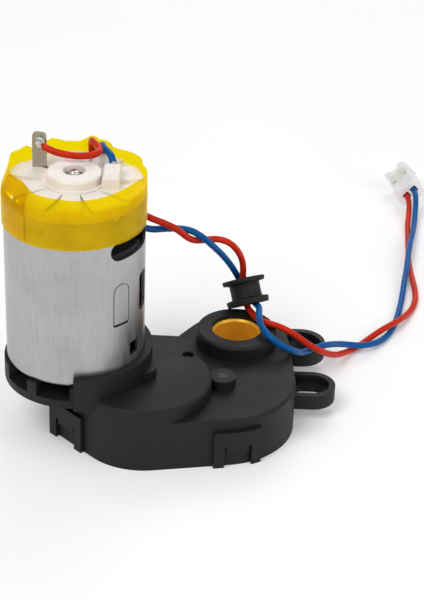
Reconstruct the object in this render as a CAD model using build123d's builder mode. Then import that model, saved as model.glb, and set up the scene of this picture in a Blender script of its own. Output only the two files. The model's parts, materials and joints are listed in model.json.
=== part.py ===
"""Geared dc motor: a can motor standing on a flat, clipped-together gearbox.

The motor shaft points down into the gearbox.  Three spur gear stages carry the turn
across to a brass-sleeved output socket, and two leads with a grommet run to a plug.

Frame: +Z up, X along the gearbox from motor to ears, origin on the underside, at the
middle of the bounding box of the gearbox and motor.  Millimetres.
"""
import os
from math import acos, atan2, cos, degrees, hypot, pi, radians, sin, sqrt, tan

from build123d import *

# ---------------------------------------------------------------- driving dimensions
# Motor: a 27.7 mm round can, its face on a seat above the gearbox.
MOTOR_X, MOTOR_Y = -19.6, -5.4
CAN_R = 13.85
CAN_WALL = 0.6
CAN_BOTTOM_Z = 16.2
CAN_TOP_Z = 52.0
ENDBELL_TOP_Z = 54.6
HUB_TOP_Z = 56.7
SHAFT_R = 1.15

# Gear train: module, teeth of the driving and the driven gear, and centre-line bearing.
M1, T_MOTOR, T_FIRST_WHEEL, BEARING_1 = 0.5, 13, 46, -17.3
M2, T_FIRST_PINION, T_SECOND_WHEEL, BEARING_2 = 0.7, 15, 31, 9.3
M3, T_SECOND_PINION, T_OUTPUT, BEARING_3 = 0.8, 21, 23, 81.3
CENTRES_1 = M1 * (T_MOTOR + T_FIRST_WHEEL) / 2
CENTRES_2 = M2 * (T_FIRST_PINION + T_SECOND_WHEEL) / 2
CENTRES_3 = M3 * (T_SECOND_PINION + T_OUTPUT) / 2
PRESSURE_ANGLE = 25.0
ADDENDUM = 0.85          # of the module
DEDENDUM = 1.15          # of the module
TOOTH_THINNING = 0.12    # mm off each tooth at the pitch circle, for backlash

# Gearbox levels above its underside.
COVER_FLOOR = 1.2
PARTING_Z = 2.9
DECK_Z = 10.6            # top of the low deck, over the second and output gears
DISC_Z = 13.8            # top of the round housing over the first gear, and of the boss
PLATE_Z0, PLATE_Z1 = 11.7, 13.4
COLLAR_Z = 18.6
WALL = 1.1
EDGE_R = 0.7

# Gearbox plan.
DISC_R = 13.7
CORNER_X, CORNER_Y, CORNER_R = 9.25, -4.6, 16.1
OUTPUT_CASE_R = 11.3
BOSS_R = 8.5
PLATE_R = 14.4
COLLAR_R = 15.5
SEAT_R = 12.6            # inside radius of the ring that the can's rim stands on
COLLAR_FROM, COLLAR_TO = -87.0, 92.0

# Mounting ears.
EAR_Z0, EAR_Z1 = PARTING_Z, 6.2
EAR_RIM = 1.3
EARS = (
    # centre Y, half width, end X
    (1.1, 4.75, 34.0),
    (18.3, 5.2, 32.5),
)

# Output socket.
SLEEVE_R, SLEEVE_BORE_R = 5.2, 4.6
SLEEVE_Z0, SLEEVE_Z1 = 5.6, 13.0
HUB_R = 5.7
SOCKET_SIDE = 6.2

PIN_R = 1.0
RUN = 0.06               # radial running clearance of a gear on its pin
LEAD_D = 1.4
TAPE_T = 0.22

os.makedirs("parts", exist_ok=True)


def polar(x, y, radius, bearing):
    """The point at a distance and bearing from another point."""
    return x + radius * cos(radians(bearing)), y + radius * sin(radians(bearing))


FIRST_X, FIRST_Y = polar(MOTOR_X, MOTOR_Y, CENTRES_1, BEARING_1)
SECOND_X, SECOND_Y = polar(FIRST_X, FIRST_Y, CENTRES_2, BEARING_2)
OUTPUT_X, OUTPUT_Y = polar(SECOND_X, SECOND_Y, CENTRES_3, BEARING_3)


def save(part, name):
    """Label a finished piece and write it to its own file."""
    part.label = name
    export_step(part, f"parts/{name}.step")


def gear_profile(module, teeth, tooth_bearing):
    """Spur gear outline about the origin, with one tooth centred on tooth_bearing."""
    pitch_r = module * teeth / 2
    base_r = pitch_r * cos(radians(PRESSURE_ANGLE))
    root_r = pitch_r - DEDENDUM * module
    tip_r = pitch_r + ADDENDUM * module

    def involute(radius):
        roll = acos(base_r / radius)
        return tan(roll) - roll

    half_at_pitch = (pi * module / 2 - TOOTH_THINNING) / (2 * pitch_r)
    start_r = max(base_r, root_r) * 1.001
    flank = []
    for step in range(4):
        radius = start_r + (tip_r - start_r) * step / 3
        flank.append((radius, half_at_pitch + involute(pitch_r) - involute(radius)))
    root_half = min(flank[0][1], pi / teeth * 0.85)
    points = []
    for tooth in range(teeth):
        middle = radians(tooth_bearing) + 2 * pi * tooth / teeth
        tooth_points = [(root_r, -root_half)]
        tooth_points += [(r, -half) for r, half in flank]
        tooth_points += [(r, half) for r, half in reversed(flank)]
        tooth_points += [(root_r, root_half)]
        points += [(r * cos(middle + a), r * sin(middle + a)) for r, a in tooth_points]
    with BuildSketch() as profile:
        with BuildLine():
            Polyline(*points, close=True)
        make_face()
    return profile.sketch


def gearbox_outline(grow=0.0):
    """Plan of the gearbox walls, grown outwards by a distance or shrunk if negative."""
    tail_r = 1.4
    with BuildSketch() as plan:
        with BuildSketch(mode=Mode.PRIVATE) as gear_side:
            with Locations((MOTOR_X - 3.5, MOTOR_Y - 4.0), (MOTOR_X - 3.5, MOTOR_Y + 8.0)):
                Circle(tail_r + grow)
            with Locations((MOTOR_X + 9.0, MOTOR_Y + 15.5), (MOTOR_X + 22.6, MOTOR_Y + 13.2)):
                Circle(2.0 + grow)
            with Locations((FIRST_X, FIRST_Y)):
                Circle(DISC_R + grow)
            with Locations((CORNER_X, CORNER_Y)):
                Circle(CORNER_R + grow)
            make_hull()
        with BuildSketch(mode=Mode.PRIVATE) as output_side:
            with Locations((CORNER_X, CORNER_Y)):
                Circle(CORNER_R + grow)
            with Locations((OUTPUT_X, OUTPUT_Y)):
                Circle(OUTPUT_CASE_R + grow)
            make_hull()
        add(gear_side.sketch)
        add(output_side.sketch)
    return plan.sketch


def sector(radius, start, end):
    """A pie slice about the motor axis between two bearings, under 180 degrees apart."""
    reach = radius * 2
    middle = (start + end) / 2
    with BuildSketch() as slice_:
        with BuildLine():
            Polyline(
                (MOTOR_X, MOTOR_Y),
                polar(MOTOR_X, MOTOR_Y, reach, start),
                polar(MOTOR_X, MOTOR_Y, reach, middle),
                polar(MOTOR_X, MOTOR_Y, reach, end),
                close=True,
            )
        make_face()
    return slice_.sketch


def ring_sketch(x, y, outer, inner):
    """A flat ring about a point."""
    with BuildSketch() as ring:
        with Locations((x, y)):
            Circle(outer)
            Circle(inner, mode=Mode.SUBTRACT)
    return ring.sketch


# ---------------------------------------------------------------- gearbox shells
CLIP_W, CLIP_WINDOW_W = 9.9, 5.7
CLIP_TOP_Z, CLIP_WINDOW_Z = 8.2, 4.7
CLIP_PROUD = 0.9
CATCH_Z0, CATCH_Z1, CATCH_W = 3.4, 4.6, 4.6
CLIPS = (
    # a point on the wall, and the bearing that the wall faces there
    (MOTOR_X - 1.0, MOTOR_Y - 8.7, -134.0),
    (*polar(CORNER_X, CORNER_Y, CORNER_R, -74.0), -74.0),
    (MOTOR_X + 15.0, MOTOR_Y + 16.5, 80.0),
    (*polar(OUTPUT_X, OUTPUT_Y, OUTPUT_CASE_R, 100.0), 100.0),
)
SCREW_PITCH_R = 8.0
SCREW_PLACES = [polar(MOTOR_X, MOTOR_Y, SCREW_PITCH_R, bearing) for bearing in (105, -75)]
SCREW_HEAD_Z = (11.65, 12.9)
SCREW_HEAD_R, SCREW_R = 1.9, 1.2
DOWEL_X, DOWEL_Y = 3.1, -1.3
FIRST_BOSS_R, FIRST_BOSS_Z = 2.5, 15.8
SECOND_BOSS_R, SECOND_BOSS_Z = 2.7, 12.7
JOURNAL_R = 4.6          # lower journal of the output gear
DECK_UNDER_Z = DECK_Z - 1.2
DISC_UNDER_Z = 11.6
CORE_Z = 12.6            # roof of the lightening pocket inside the round housing
EAR_POCKET_X, EAR_POCKET_Z = 25.4, 4.5
EAR_SLOT_X, EAR_SLOT_R, EAR_SLOT_L = 28.4, 2.1, 6.4


def clip_rectangles(width, depth):
    """One rectangle at each clip, across the wall."""
    with BuildSketch() as rectangles:
        for x, y, facing in CLIPS:
            with Locations(Location((x, y, 0), (0, 0, facing))):
                Rectangle(depth, width)
    return rectangles.sketch


# Spring loops of the cover, which hook over the catches of the upper housing.
with BuildPart() as clip_loops:
    with BuildSketch():
        add(gearbox_outline(CLIP_PROUD))
        add(gearbox_outline(), mode=Mode.SUBTRACT)
    extrude(amount=CLIP_TOP_Z)
    with BuildSketch():
        add(clip_rectangles(CLIP_W, 6.0))
    extrude(amount=CLIP_TOP_Z, mode=Mode.INTERSECT)
    with BuildSketch():
        add(clip_rectangles(CLIP_WINDOW_W, 6.0))
    extrude(amount=CLIP_WINDOW_Z, mode=Mode.SUBTRACT)


with BuildPart() as catches:
    with BuildSketch(Plane.XY.offset(CATCH_Z0)):
        add(gearbox_outline(CLIP_PROUD - 0.2))
        add(gearbox_outline(), mode=Mode.SUBTRACT)
    extrude(amount=CATCH_Z1 - CATCH_Z0)
    with BuildSketch():
        add(clip_rectangles(CATCH_W, 6.0))
    extrude(amount=CLIP_TOP_Z, mode=Mode.INTERSECT)


with BuildPart() as lower_cover:
    with BuildSketch():
        add(gearbox_outline())
    extrude(amount=PARTING_Z)
    with BuildSketch(Plane.XY.offset(COVER_FLOOR)):
        add(gearbox_outline(-WALL))
    extrude(amount=PARTING_Z, mode=Mode.SUBTRACT)
    # pin sockets
    with BuildSketch(Plane.XY.offset(COVER_FLOOR)):
        with Locations((FIRST_X, FIRST_Y), (SECOND_X, SECOND_Y)):
            Circle(2.4)
    extrude(amount=0.4)
    with BuildSketch(Plane.XY.offset(0.5)):
        with Locations((FIRST_X, FIRST_Y), (SECOND_X, SECOND_Y)):
            Circle(PIN_R)
    extrude(amount=2.0, mode=Mode.SUBTRACT)
    # journal hole of the output gear
    with BuildSketch():
        with Locations((OUTPUT_X, OUTPUT_Y)):
            Circle(JOURNAL_R + RUN)
    extrude(amount=PARTING_Z, mode=Mode.SUBTRACT)
    add(clip_loops.part)
save(lower_cover.part, "lower_cover")


with BuildPart() as upper_housing:
    # low deck, over the second and the output gears
    with BuildSketch(Plane.XY.offset(PARTING_Z)):
        add(gearbox_outline())
    extrude(amount=DECK_Z - PARTING_Z)
    fillet(upper_housing.faces().sort_by(Axis.Z)[-1].edges(), EDGE_R)
    # tail of the walls, up to the motor plate
    with BuildSketch(Plane.XY.offset(DECK_Z - EDGE_R - 0.1)):
        add(gearbox_outline())
        with Locations((MOTOR_X, MOTOR_Y)):
            Circle(PLATE_R, mode=Mode.INTERSECT)
    extrude(amount=PLATE_Z0 - DECK_Z + EDGE_R + 0.1)
    # round housing and output boss
    with BuildSketch(Plane.XY.offset(DECK_UNDER_Z)):
        with Locations((FIRST_X, FIRST_Y)):
            Circle(DISC_R)
        with Locations((OUTPUT_X, OUTPUT_Y)):
            Circle(BOSS_R)
    extrude(amount=DISC_Z - DECK_UNDER_Z)
    fillet(upper_housing.faces().sort_by(Axis.Z)[-2:].edges(), EDGE_R)
    # pin bosses
    with BuildSketch(Plane.XY.offset(DECK_UNDER_Z)):
        with Locations((FIRST_X, FIRST_Y)):
            Circle(FIRST_BOSS_R)
    extrude(amount=FIRST_BOSS_Z - DECK_UNDER_Z)
    with BuildSketch(Plane.XY.offset(DECK_UNDER_Z)):
        with Locations((SECOND_X, SECOND_Y)):
            Circle(SECOND_BOSS_R)
    extrude(amount=SECOND_BOSS_Z - DECK_UNDER_Z)
    # motor plate, and the ring with window gaps that the can's rim stands on
    with BuildSketch(Plane.XY.offset(PLATE_Z0)):
        with Locations((MOTOR_X, MOTOR_Y)):
            Circle(PLATE_R)
    extrude(amount=PLATE_Z1 - PLATE_Z0)
    with BuildSketch(Plane.XY.offset(PLATE_Z1)):
        add(ring_sketch(MOTOR_X, MOTOR_Y, PLATE_R, SEAT_R))
        for start, end in ((-153, -127), (-118, -90), (127, 153), (95, 118)):
            add(sector(PLATE_R, start, end), mode=Mode.SUBTRACT)
        with Locations(*SCREW_PLACES):
            Circle(2.4)
    extrude(amount=CAN_BOTTOM_Z - PLATE_Z1)
    # half collar that holds the can
    with BuildSketch(Plane.XY.offset(PLATE_Z0)):
        add(ring_sketch(MOTOR_X, MOTOR_Y, COLLAR_R, PLATE_R - 0.5))
        add(sector(COLLAR_R, COLLAR_FROM, COLLAR_TO), mode=Mode.INTERSECT)
    extrude(amount=CAN_BOTTOM_Z - PLATE_Z0)
    with BuildSketch(Plane.XY.offset(CAN_BOTTOM_Z)):
        add(ring_sketch(MOTOR_X, MOTOR_Y, COLLAR_R, CAN_R + 0.1))
        add(sector(COLLAR_R, COLLAR_FROM, COLLAR_TO), mode=Mode.INTERSECT)
    extrude(amount=COLLAR_Z - CAN_BOTTOM_Z)
    # mounting ears
    with BuildSketch(Plane.XY.offset(EAR_Z0)):
        for ear_y, half_w, end_x in EARS:
            with BuildSketch(mode=Mode.PRIVATE) as ear:
                with Locations((end_x - half_w, ear_y)):
                    Circle(half_w)
                with Locations((20.0, ear_y)):
                    Rectangle(4.0, 2 * half_w)
                make_hull()
            add(ear.sketch)
    extrude(amount=EAR_Z1 - EAR_Z0)
    with BuildSketch(Plane.XY.offset(EAR_POCKET_Z)):
        for ear_y, half_w, end_x in EARS:
            with BuildSketch(mode=Mode.PRIVATE) as pocket:
                with Locations((end_x - half_w, ear_y)):
                    Circle(half_w - EAR_RIM)
                with Locations((EAR_POCKET_X + 0.5, ear_y)):
                    Rectangle(1.0, 2 * (half_w - EAR_RIM))
                make_hull()
            add(pocket.sketch)
    extrude(amount=EAR_Z1, mode=Mode.SUBTRACT)
    with BuildSketch():
        for ear_y, half_w, end_x in EARS:
            with Locations((EAR_SLOT_X, ear_y)):
                SlotOverall(EAR_SLOT_L, 2 * EAR_SLOT_R)
    extrude(amount=EAR_Z1, mode=Mode.SUBTRACT)
    # gear chambers
    with BuildSketch(Plane.XY.offset(PARTING_Z)):
        add(gearbox_outline(-WALL))
    extrude(amount=DECK_UNDER_Z - PARTING_Z, mode=Mode.SUBTRACT)
    with BuildSketch(Plane.XY.offset(PARTING_Z)):
        with Locations((FIRST_X, FIRST_Y)):
            Circle(DISC_R - WALL)
    extrude(amount=DISC_UNDER_Z - PARTING_Z, mode=Mode.SUBTRACT)
    with BuildSketch(Plane.XY.offset(DISC_UNDER_Z)):
        with Locations((FIRST_X, FIRST_Y)):
            Circle(DISC_R - WALL)
            Circle(FIRST_BOSS_R + 1.0, mode=Mode.SUBTRACT)
        with Locations((MOTOR_X, MOTOR_Y)):
            Circle(COLLAR_R + 0.8, mode=Mode.SUBTRACT)
    extrude(amount=CORE_Z - DISC_UNDER_Z, mode=Mode.SUBTRACT)
    with BuildSketch(Plane.XY.offset(PARTING_Z)):
        add(gearbox_outline(-WALL))
        with Locations((MOTOR_X, MOTOR_Y)):
            Circle(PLATE_R - WALL, mode=Mode.INTERSECT)
    extrude(amount=PLATE_Z0 - 0.1 - PARTING_Z, mode=Mode.SUBTRACT)
    # holes: shaft, motor screws, pins, dowel, output sleeve
    with BuildSketch(Plane.XY.offset(PLATE_Z0 - 1)):
        with Locations((MOTOR_X, MOTOR_Y)):
            Circle(4.4)
        with Locations(*SCREW_PLACES):
            Circle(SCREW_R + 0.15)
    extrude(amount=CAN_BOTTOM_Z - PLATE_Z0 + 1, mode=Mode.SUBTRACT)
    with BuildSketch(Plane.XY.offset(PLATE_Z0 - 1)):
        with Locations(*SCREW_PLACES):
            Circle(SCREW_HEAD_R + 0.1)
    extrude(amount=SCREW_HEAD_Z[1] - PLATE_Z0 + 1, mode=Mode.SUBTRACT)
    with BuildSketch(Plane.XY.offset(DISC_UNDER_Z - 0.5)):
        with Locations((FIRST_X, FIRST_Y)):
            Circle(PIN_R)
    extrude(amount=3.6, mode=Mode.SUBTRACT)
    with BuildSketch(Plane.XY.offset(DECK_UNDER_Z - 0.5)):
        with Locations((SECOND_X, SECOND_Y)):
            Circle(PIN_R)
        with Locations((OUTPUT_X, OUTPUT_Y)):
            Circle(SLEEVE_R + RUN)
    extrude(amount=DISC_Z, mode=Mode.SUBTRACT)
    with BuildSketch(Plane.XY.offset(DISC_Z - 1.0)):
        with Locations((DOWEL_X, DOWEL_Y)):
            Circle(1.2)
    extrude(amount=2.0, mode=Mode.SUBTRACT)
    add(catches.part)
save(upper_housing.part, "upper_housing")


# ---------------------------------------------------------------- gear train
FIRST_WHEEL_Z = (9.2, 11.1)
FIRST_PINION_Z = (5.4, 9.2)
SECOND_WHEEL_Z = (5.9, 8.6)
SECOND_PINION_Z = (2.2, 5.5)
OUTPUT_WHEEL_Z = (2.3, 5.3)
MOTOR_PINION_Z = (8.8, 11.3)
HUB_FOOT_Z = 1.7          # gear hubs run just above the pin sockets
GEAR_HUB_R = 2.4


def toothed(module, teeth, tooth_bearing, levels, x, y):
    """A gear wheel or pinion between two levels, about a point."""
    with BuildPart() as wheel:
        with BuildSketch(Plane.XY.offset(levels[0])):
            with Locations((x, y)):
                add(gear_profile(module, teeth, tooth_bearing))
        extrude(amount=levels[1] - levels[0])
    return wheel.part


def meshing_bearing(teeth, centre_line):
    """Bearing of a tooth that leaves a tooth gap facing back along the centre line."""
    return centre_line + 180 + 180 / teeth


with BuildPart() as motor_pinion:
    add(toothed(M1, T_MOTOR, BEARING_1, MOTOR_PINION_Z, MOTOR_X, MOTOR_Y))
    with BuildSketch(Plane.XY.offset(MOTOR_PINION_Z[0])):
        with Locations((MOTOR_X, MOTOR_Y)):
            Circle(SHAFT_R)
    extrude(amount=5, mode=Mode.SUBTRACT)
save(motor_pinion.part, "motor_pinion")


with BuildPart() as first_gear:
    bearing = meshing_bearing(T_FIRST_WHEEL, BEARING_1)
    add(toothed(M1, T_FIRST_WHEEL, bearing, FIRST_WHEEL_Z, FIRST_X, FIRST_Y))
    add(toothed(M2, T_FIRST_PINION, BEARING_2, FIRST_PINION_Z, FIRST_X, FIRST_Y))
    with BuildSketch(Plane.XY.offset(HUB_FOOT_Z)):
        with Locations((FIRST_X, FIRST_Y)):
            Circle(GEAR_HUB_R)
    extrude(amount=FIRST_WHEEL_Z[1] + 0.3 - HUB_FOOT_Z)
    with BuildSketch(Plane.XY.offset(FIRST_WHEEL_Z[1] - 0.7)):
        add(ring_sketch(FIRST_X, FIRST_Y, 9.6, 4.0))
    extrude(amount=0.7, mode=Mode.SUBTRACT)
    with BuildSketch():
        with Locations((FIRST_X, FIRST_Y)):
            Circle(PIN_R + RUN)
    extrude(amount=DISC_Z, mode=Mode.SUBTRACT)
save(first_gear.part, "first_gear")


with BuildPart() as second_gear:
    bearing = meshing_bearing(T_SECOND_WHEEL, BEARING_2)
    add(toothed(M2, T_SECOND_WHEEL, bearing, SECOND_WHEEL_Z, SECOND_X, SECOND_Y))
    add(toothed(M3, T_SECOND_PINION, BEARING_3, SECOND_PINION_Z, SECOND_X, SECOND_Y))
    with BuildSketch(Plane.XY.offset(HUB_FOOT_Z)):
        with Locations((SECOND_X, SECOND_Y)):
            Circle(GEAR_HUB_R)
    extrude(amount=SECOND_WHEEL_Z[1] + 0.6 - HUB_FOOT_Z)
    with BuildSketch(Plane.XY.offset(SECOND_PINION_Z[1] - 0.1)):
        with Locations((SECOND_X, SECOND_Y)):
            Circle(7.0)
    extrude(amount=SECOND_WHEEL_Z[0] - SECOND_PINION_Z[1] + 0.2)
    with BuildSketch():
        with Locations((SECOND_X, SECOND_Y)):
            Circle(PIN_R + RUN)
    extrude(amount=DISC_Z, mode=Mode.SUBTRACT)
save(second_gear.part, "second_gear")


with BuildPart() as output_gear:
    bearing = meshing_bearing(T_OUTPUT, BEARING_3)
    add(toothed(M3, T_OUTPUT, bearing, OUTPUT_WHEEL_Z, OUTPUT_X, OUTPUT_Y))
    with BuildSketch(Plane.XY.offset(OUTPUT_WHEEL_Z[1] - 0.1)):
        with Locations((OUTPUT_X, OUTPUT_Y)):
            Circle(HUB_R)
    extrude(amount=DECK_UNDER_Z - 0.3 - OUTPUT_WHEEL_Z[1] + 0.1)
    with BuildSketch(Plane.XY.offset(0.3)):
        with Locations((OUTPUT_X, OUTPUT_Y)):
            Circle(JOURNAL_R)
    extrude(amount=OUTPUT_WHEEL_Z[0] - 0.3)
    with BuildSketch(Plane.XY.offset(SLEEVE_Z0)):
        with Locations((OUTPUT_X, OUTPUT_Y)):
            Circle(SLEEVE_R)
    extrude(amount=DISC_Z, mode=Mode.SUBTRACT)
    with BuildSketch(Plane.XY.offset(COVER_FLOOR)):
        with Locations((OUTPUT_X, OUTPUT_Y)):
            Rectangle(SOCKET_SIDE, SOCKET_SIDE)
    extrude(amount=DISC_Z, mode=Mode.SUBTRACT)
save(output_gear.part, "output_gear")


with BuildPart() as output_sleeve:
    with BuildSketch(Plane.XY.offset(SLEEVE_Z0)):
        add(ring_sketch(OUTPUT_X, OUTPUT_Y, SLEEVE_R, SLEEVE_BORE_R))
    extrude(amount=SLEEVE_Z1 - SLEEVE_Z0)
    mouth = output_sleeve.edges().filter_by(GeomType.CIRCLE).group_by(Axis.Z)[-1]
    chamfer(mouth.sort_by(SortBy.RADIUS)[0], 0.4)
save(output_sleeve.part, "output_sleeve")


for name, x, y, top in (
    ("first_gear_pin", FIRST_X, FIRST_Y, 14.6),
    ("second_gear_pin", SECOND_X, SECOND_Y, SECOND_BOSS_Z),
):
    with BuildPart() as pin:
        with BuildSketch(Plane.XY.offset(0.5)):
            with Locations((x, y)):
                Circle(PIN_R)
        extrude(amount=top - 0.5)
    save(pin.part, name)

with BuildPart() as housing_dowel:
    with BuildSketch(Plane.XY.offset(DISC_Z - 1.0)):
        with Locations((DOWEL_X, DOWEL_Y)):
            Circle(0.55)
    extrude(amount=0.3)
save(housing_dowel.part, "housing_dowel")


# ---------------------------------------------------------------- motor
CAN_INSIDE_R = CAN_R - CAN_WALL
STACK_Z = (25.0, 41.0)
STACK_R = 10.2
MAGNET_Z = (22.5, 44.0)
MAGNET_R = (10.9, 13.15)
COMMUTATOR_Z = (45.4, 49.6)
COMMUTATOR_R = 4.2
ENDBELL_Z0 = 50.4
BLOCK_TOP_Z = 56.9
DECKING_Z = 53.9          # bottom of the notches that part the petals
NOTCHES = (
    # bearing and half angle at the rim; each narrows to nothing at the foot of the hub
    (-105, 4), (-75, 4), (-141, 3), (-39, 3), (181, 9), (-1, 9), (138, 8), (42, 8), (105, 4), (75, 4),
)
HUB_FOOT_R, HUB_TOP_R = 6.3, 5.4
BUSH_R = 2.9
VENT_BEARINGS, VENT_Z, VENT_L, VENT_H = (-29.0, 151.0), 44.9, 12.4, 4.2
TONGUE_BEARINGS, TONGUE_Z, TONGUE_W, TONGUE_H = (-44.8, 135.2), 33.2, 4.0, 9.0
SLOT_BEARINGS, SLOT_Z, SLOT_W, SLOT_H = (-13.0, 167.0), 33.0, 3.7, 8.2
SQUARE_HOLES, SQUARE_Z, SQUARE_W, SQUARE_H = (-29.5, 150.5), 21.9, 2.6, 2.8
RIM_NOTCHES = (
    # bearing, width and depth of each notch in the staked rim
    (-112.0, 1.5, 3.3), (-48.5, 1.7, 1.1), (8.0, 1.7, 1.1), (68.0, 1.5, 3.3), (128.0, 1.7, 1.1), (188.0, 1.7, 1.1),
)
TERMINALS = (
    # name, place and top of each blade
    ("left_terminal", MOTOR_X - 7.2, MOTOR_Y + 5.6, 62.0),
    ("right_terminal", MOTOR_X + 7.2, MOTOR_Y + 4.4, 56.2),
)


def wall_plane(bearing, z):
    """Plane touching the can, X along the wall, Y up, Z out of the wall."""
    x, y = polar(MOTOR_X, MOTOR_Y, CAN_R, bearing)
    out = (cos(radians(bearing)), sin(radians(bearing)), 0)
    along = (-sin(radians(bearing)), cos(radians(bearing)), 0)
    return Plane(origin=(x, y, z), x_dir=along, z_dir=out)


def arch(width, height, groove):
    """Outline of a stamped tongue: a thin groove, round at the top and open below."""
    with BuildSketch() as outline:
        with Locations((0, -width / 4)):
            Rectangle(width, height - width / 2)
        with Locations((0, height / 2 - width / 2)):
            Circle(width / 2)
        with Locations((0, -width / 4)):
            Rectangle(width - 2 * groove, height - width / 2, mode=Mode.SUBTRACT)
        with Locations((0, height / 2 - width / 2)):
            Circle(width / 2 - groove, mode=Mode.SUBTRACT)
    return outline.sketch


with BuildPart() as motor_can:
    with BuildSketch(Plane.XY.offset(CAN_BOTTOM_Z)):
        with Locations((MOTOR_X, MOTOR_Y)):
            Circle(CAN_R)
    extrude(amount=CAN_TOP_Z - CAN_BOTTOM_Z)
    fillet(motor_can.faces().sort_by(Axis.Z)[0].edges(), 1.1)
    with BuildSketch(Plane.XY.offset(CAN_BOTTOM_Z + CAN_WALL)):
        with Locations((MOTOR_X, MOTOR_Y)):
            Circle(CAN_INSIDE_R)
    extrude(amount=CAN_TOP_Z, mode=Mode.SUBTRACT)
    # bearing cup on the face, and the holes for shaft and screws
    with BuildSketch(Plane.XY.offset(CAN_BOTTOM_Z - 1.8)):
        with Locations((MOTOR_X, MOTOR_Y)):
            Circle(BUSH_R + CAN_WALL)
    extrude(amount=1.8 + CAN_WALL)
    with BuildSketch(Plane.XY.offset(CAN_BOTTOM_Z - 1.2)):
        with Locations((MOTOR_X, MOTOR_Y)):
            Circle(BUSH_R)
    extrude(amount=3.0, mode=Mode.SUBTRACT)
    with BuildSketch(Plane.XY.offset(CAN_BOTTOM_Z - 2.0)):
        with Locations((MOTOR_X, MOTOR_Y)):
            Circle(SHAFT_R + 0.6)
        with Locations(*SCREW_PLACES):
            Circle(SCREW_R)
    extrude(amount=4.0, mode=Mode.SUBTRACT)
    # cooling vents under the rim
    for bearing in VENT_BEARINGS:
        with BuildSketch(wall_plane(bearing, VENT_Z)):
            SlotOverall(VENT_L, VENT_H)
        extrude(amount=-3.0, mode=Mode.SUBTRACT)
    # tongues pressed in to hold the magnets: a fine groove all round, cut through at the foot
    for bearing in TONGUE_BEARINGS:
        with BuildSketch(wall_plane(bearing, TONGUE_Z)):
            add(arch(TONGUE_W, TONGUE_H, 0.2))
        extrude(amount=-0.45, mode=Mode.SUBTRACT)
        with BuildSketch(wall_plane(bearing, TONGUE_Z - TONGUE_H / 2)):
            Rectangle(TONGUE_W - 0.4, 0.5)
        extrude(amount=-1.2, mode=Mode.SUBTRACT)
    for bearing in SLOT_BEARINGS:
        with BuildSketch(wall_plane(bearing, SLOT_Z)):
            RectangleRounded(SLOT_W, SLOT_H, 0.8)
        extrude(amount=-1.5, mode=Mode.SUBTRACT)
    for bearing in SQUARE_HOLES:
        with BuildSketch(wall_plane(bearing, SQUARE_Z)):
            Rectangle(SQUARE_W, SQUARE_H)
        extrude(amount=-1.5, mode=Mode.SUBTRACT)
    # round-bottomed notches in the rim, where it is staked over the endbell
    for bearing, width, depth in RIM_NOTCHES:
        with BuildSketch(wall_plane(bearing, CAN_TOP_Z)):
            RectangleRounded(width, 2 * depth, width * 0.35)
        extrude(amount=-1.2, mode=Mode.SUBTRACT)
save(motor_can.part, "motor_can")


with BuildPart() as endbell:
    with BuildSketch(Plane.XY.offset(ENDBELL_Z0)):
        with Locations((MOTOR_X, MOTOR_Y)):
            Circle(CAN_INSIDE_R - 0.02)
    extrude(amount=CAN_TOP_Z - ENDBELL_Z0)
    with BuildSketch(Plane.XY.offset(CAN_TOP_Z)):
        with Locations((MOTOR_X, MOTOR_Y)):
            Circle(CAN_R - 0.15)
    extrude(amount=ENDBELL_TOP_Z - CAN_TOP_Z)
    fillet(endbell.faces().sort_by(Axis.Z)[-1].edges(), 0.6)
    # wedge notches that part the petals
    with BuildSketch(Plane.XY.offset(DECKING_Z)):
        for notch_bearing, half in NOTCHES:
            with BuildLine():
                Polyline(
                    polar(MOTOR_X, MOTOR_Y, HUB_FOOT_R - 0.3, notch_bearing),
                    polar(MOTOR_X, MOTOR_Y, CAN_R + 1.0, notch_bearing - half),
                    polar(MOTOR_X, MOTOR_Y, CAN_R + 1.0, notch_bearing + half),
                    close=True,
                )
            make_face()
    extrude(amount=ENDBELL_TOP_Z, mode=Mode.SUBTRACT)
    # stepped hub with the rear bush seat
    with BuildSketch(Plane.XY.offset(DECKING_Z)):
        with Locations((MOTOR_X, MOTOR_Y)):
            Circle(HUB_FOOT_R)
    extrude(amount=ENDBELL_TOP_Z + 0.3 - DECKING_Z)
    with BuildSketch(Plane.XY.offset(DECKING_Z)):
        with Locations((MOTOR_X, MOTOR_Y)):
            Circle(HUB_TOP_R)
    extrude(amount=HUB_TOP_Z - DECKING_Z)
    hub_rim = endbell.faces().sort_by(Axis.Z)[-1].edges()
    fillet(hub_rim, 0.7)
    with BuildSketch(Plane.XY.offset(ENDBELL_Z0 - 0.1)):
        with Locations((MOTOR_X, MOTOR_Y)):
            Circle(2.2)
    extrude(amount=8.0, mode=Mode.SUBTRACT)
    with BuildSketch(Plane.XY.offset(ENDBELL_Z0 - 0.1)):
        with Locations((MOTOR_X, MOTOR_Y)):
            Circle(BUSH_R)
    extrude(amount=HUB_TOP_Z - 1.2 - ENDBELL_Z0, mode=Mode.SUBTRACT)
    # upright block in front of the right terminal, and the slots of both blades
    with BuildSketch(Plane.XY.offset(DECKING_Z)):
        with Locations((TERMINALS[1][1], MOTOR_Y - 0.1)):
            Rectangle(3.4, 7.0)
    extrude(amount=BLOCK_TOP_Z - DECKING_Z)
    fillet(endbell.faces().sort_by(Axis.Z)[-1].edges(), 0.45)
    with BuildSketch(Plane.XY.offset(ENDBELL_Z0 - 0.1)):
        with Locations(*[(x, y) for _, x, y, _ in TERMINALS]):
            Rectangle(2.9, 0.5)
    extrude(amount=8.0, mode=Mode.SUBTRACT)
save(endbell.part, "endbell")


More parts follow.
